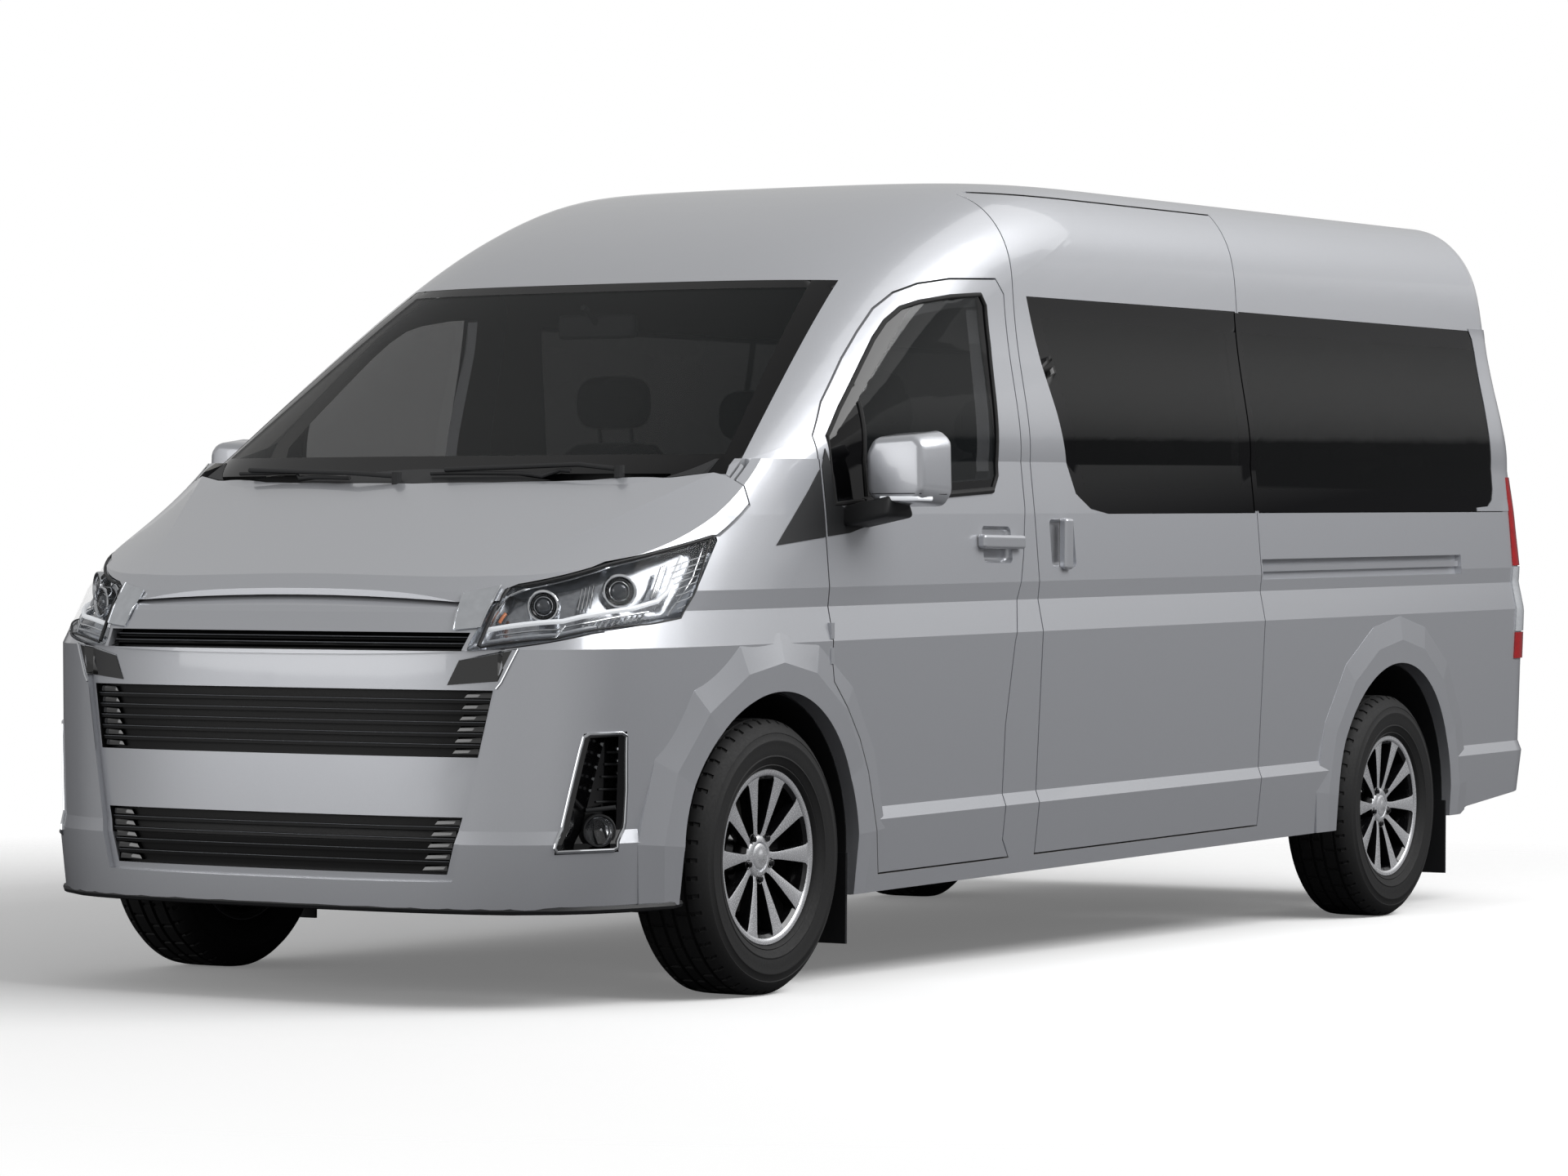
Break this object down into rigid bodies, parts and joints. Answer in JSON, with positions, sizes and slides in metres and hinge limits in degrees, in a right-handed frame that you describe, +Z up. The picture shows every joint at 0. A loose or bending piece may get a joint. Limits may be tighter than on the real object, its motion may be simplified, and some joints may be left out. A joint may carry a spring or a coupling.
{
  "type": "minibus",
  "caption": "High-roof passenger minibus with short bonnet, sliding side door, opening front doors, bonnet and tailgate, steered front wheels and bench seats.",
  "frame": {"origin": "on the ground below the middle of the body, midway between the bumpers and the sides", "axes": "+X forward, +Y to the vehicle's left, +Z up"},
  "size_m": [5.9088, 2.37, 2.2825],
  "materials": {
    "silver_paint": "metallic",
    "tinted_glass": "gloss",
    "tyre": "matte",
    "wheel_alloy": "machined",
    "lamp_clear": "gloss",
    "lamp_red": "gloss",
    "black_plastic": "matte",
    "trim_plastic": "matte",
    "seat_cloth": "woven",
    "chassis_black": "satin",
    "engine_cast": "rough"
  },
  "bodies": {
    "body": {"floor_pan": "chassis_black", "left_side": "silver_paint", "right_side": "silver_paint", "roof": "silver_paint", "cowl": "black_plastic", "front_fenders": "silver_paint", "front_bumper": "silver_paint", "upper_panel": "silver_paint", "grille": "black_plastic", "headlamps": "lamp_clear", "fog_lamps": "lamp_clear", "sliding_door": "silver_paint", "sliding_door_glass": "tinted_glass", "side_glass": "tinted_glass", "windscreen": "tinted_glass", "rear_bumper": "silver_paint", "tail_lamps": "lamp_red", "front_crossmember": "chassis_black", "rear_axle": "chassis_black", "dashboard": "trim_plastic", "front_seats": "seat_cloth", "rear_seats": "seat_cloth", "engine": "engine_cast", "driveline": "chassis_black", "fuel_tank": "chassis_black", "mud_flaps": "black_plastic"},
    "bonnet": {"bonnet": "silver_paint"},
    "front_left_door": {"front_left_door": "silver_paint", "front_left_glass": "tinted_glass", "left_mirror": "silver_paint"},
    "front_right_door": {"front_right_door": "silver_paint", "front_right_glass": "tinted_glass", "right_mirror": "silver_paint"},
    "tailgate": {"tailgate": "silver_paint", "tailgate_glass": "tinted_glass"},
    "left_knuckle": {"left_knuckle": "chassis_black"},
    "right_knuckle": {"right_knuckle": "chassis_black"},
    "steering_wheel": {"steering_wheel": "trim_plastic"},
    "front_left_wheel": {"front_left_rim": "wheel_alloy", "front_left_tyre": "tyre"},
    "front_right_wheel": {"front_right_rim": "wheel_alloy", "front_right_tyre": "tyre"},
    "rear_left_wheel": {"rear_left_rim": "wheel_alloy", "rear_left_tyre": "tyre"},
    "rear_right_wheel": {"rear_right_rim": "wheel_alloy", "rear_right_tyre": "tyre"}
  },
  "joints": [
    {"name": "left_steer", "type": "hinge", "parent": "body", "child": "left_knuckle", "pos_m": [2.0675, 0.8, 0.356], "axis": [0, 0, 1], "range_deg": [-30, 30]},
    {"name": "right_steer", "type": "hinge", "parent": "body", "child": "right_knuckle", "pos_m": [2.0675, -0.8, 0.356], "axis": [0, 0, 1], "range_deg": [-30, 30]},
    {"name": "wheel_steer", "type": "hinge", "parent": "body", "child": "steering_wheel", "pos_m": [1.385, -0.43, 1.1], "axis": [-0.8829, 0, 0.4695], "range_deg": [-450, 450]},
    {"name": "front_left_spin", "type": "hinge", "parent": "left_knuckle", "child": "front_left_wheel", "pos_m": [2.0675, 0.8375, 0.356], "axis": [0, 1, 0], "continuous": true},
    {"name": "front_right_spin", "type": "hinge", "parent": "right_knuckle", "child": "front_right_wheel", "pos_m": [2.0675, -0.8375, 0.356], "axis": [0, 1, 0], "continuous": true},
    {"name": "rear_left_spin", "type": "hinge", "parent": "body", "child": "rear_left_wheel", "pos_m": [-1.7925, 0.835, 0.356], "axis": [0, 1, 0], "continuous": true},
    {"name": "rear_right_spin", "type": "hinge", "parent": "body", "child": "rear_right_wheel", "pos_m": [-1.7925, -0.835, 0.356], "axis": [0, 1, 0], "continuous": true},
    {"name": "left_door_hinge", "type": "hinge", "parent": "body", "child": "front_left_door", "pos_m": [1.8027, 0.9685, 1], "axis": [0, 0, -1], "range_deg": [0, 65]},
    {"name": "right_door_hinge", "type": "hinge", "parent": "body", "child": "front_right_door", "pos_m": [1.8027, -0.9685, 1], "axis": [0, 0, 1], "range_deg": [0, 65]},
    {"name": "bonnet_hinge", "type": "hinge", "parent": "body", "child": "bonnet", "pos_m": [2.106, 0, 1.33], "axis": [0, -1, 0], "range_deg": [0, 45]},
    {"name": "tailgate_hinge", "type": "hinge", "parent": "body", "child": "tailgate", "pos_m": [-2.779, 0, 2.12897], "axis": [0, 1, 0], "range_deg": [0, 80]}
  ],
  "couplings": [
    {"joint": "right_steer", "follows": "left_steer", "ratio": 1},
    {"joint": "wheel_steer", "follows": "left_steer", "ratio": 15}
  ]
}
